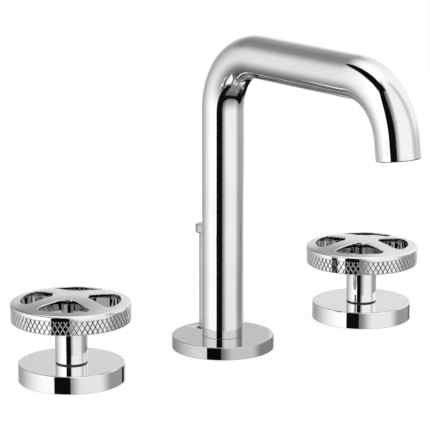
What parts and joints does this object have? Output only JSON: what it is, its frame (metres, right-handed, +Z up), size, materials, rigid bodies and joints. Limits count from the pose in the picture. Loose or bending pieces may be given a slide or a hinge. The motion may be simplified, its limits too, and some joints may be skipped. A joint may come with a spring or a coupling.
{
  "type": "widespread bathroom faucet",
  "caption": "Widespread basin faucet: bent tube spout with lift rod between knurled wheel handles on round escutcheons, with valve bodies, shank and nuts below the deck.",
  "frame": {"origin": "on the deck's top face, on the axis of the spout's riser", "axes": "+X to the user's right along the line of the handles, +Y away from the user, +Z up; the spout reaches towards -Y and the hot handle is at -X"},
  "size_m": [0.267, 0.1842, 0.261],
  "materials": {
    "chrome": "polished chrome plate",
    "brass": "machined brass",
    "zinc_plated_steel": "bright zinc plate or plain stainless steel",
    "black_rubber": "matt black rubber",
    "black_plastic": "black acetal",
    "white_plastic": "moulded white plastic",
    "white_ceramic": "lapped alumina"
  },
  "bodies": {
    "deck_set": {"aerator_housing": "black_plastic", "aerator_screen": "zinc_plated_steel", "aerator_washer": "black_rubber", "cold_bonnet_nut": "brass", "cold_cartridge_housing": "white_plastic", "cold_cartridge_o_ring": "black_rubber", "cold_escutcheon": "chrome", "cold_fixed_disc": "white_ceramic", "cold_gasket": "black_rubber", "cold_glide_ring": "black_plastic", "cold_mounting_nut": "brass", "cold_rubber_washer": "black_rubber", "cold_seat_seal": "black_rubber", "cold_steel_washer": "zinc_plated_steel", "cold_valve_body": "brass", "hot_bonnet_nut": "brass", "hot_cartridge_housing": "white_plastic", "hot_cartridge_o_ring": "black_rubber", "hot_escutcheon": "chrome", "hot_fixed_disc": "white_ceramic", "hot_gasket": "black_rubber", "hot_glide_ring": "black_plastic", "hot_mounting_nut": "brass", "hot_rubber_washer": "black_rubber", "hot_seat_seal": "black_rubber", "hot_steel_washer": "zinc_plated_steel", "hot_valve_body": "brass", "inlet_tee": "brass", "inlet_tee_seal": "black_rubber", "lift_rod_bush": "black_plastic", "spout_escutcheon": "chrome", "spout_ferrule": "brass", "spout_gasket": "black_rubber", "spout_mounting_nut": "brass", "spout_rubber_washer": "black_rubber", "spout_shank": "brass", "spout_steel_washer": "zinc_plated_steel", "spout_tube": "chrome"},
    "hot_handle": {"hot_wheel": "chrome", "hot_neck": "chrome", "hot_grub_screw": "zinc_plated_steel", "hot_spline_adapter": "brass", "hot_stem": "brass", "hot_moving_disc": "white_ceramic"},
    "cold_handle": {"cold_wheel": "chrome", "cold_neck": "chrome", "cold_grub_screw": "zinc_plated_steel", "cold_spline_adapter": "brass", "cold_stem": "brass", "cold_moving_disc": "white_ceramic"},
    "drain_rod": {"lift_rod": "chrome", "lift_rod_knob": "chrome"}
  },
  "joints": [
    {"name": "hot_handle_turn", "type": "hinge", "parent": "deck_set", "child": "hot_handle", "pos_m": [-0.1016, 0, 0], "axis": [0, 0, 1], "range_deg": [0, 90]},
    {"name": "cold_handle_turn", "type": "hinge", "parent": "deck_set", "child": "cold_handle", "pos_m": [0.1016, 0, 0], "axis": [0, 0, 1], "range_deg": [-90, 0]},
    {"name": "lift_rod_slide", "type": "slide", "parent": "deck_set", "child": "drain_rod", "axis": [0, 0, 1], "range_m": [0, 0.025]}
  ]
}
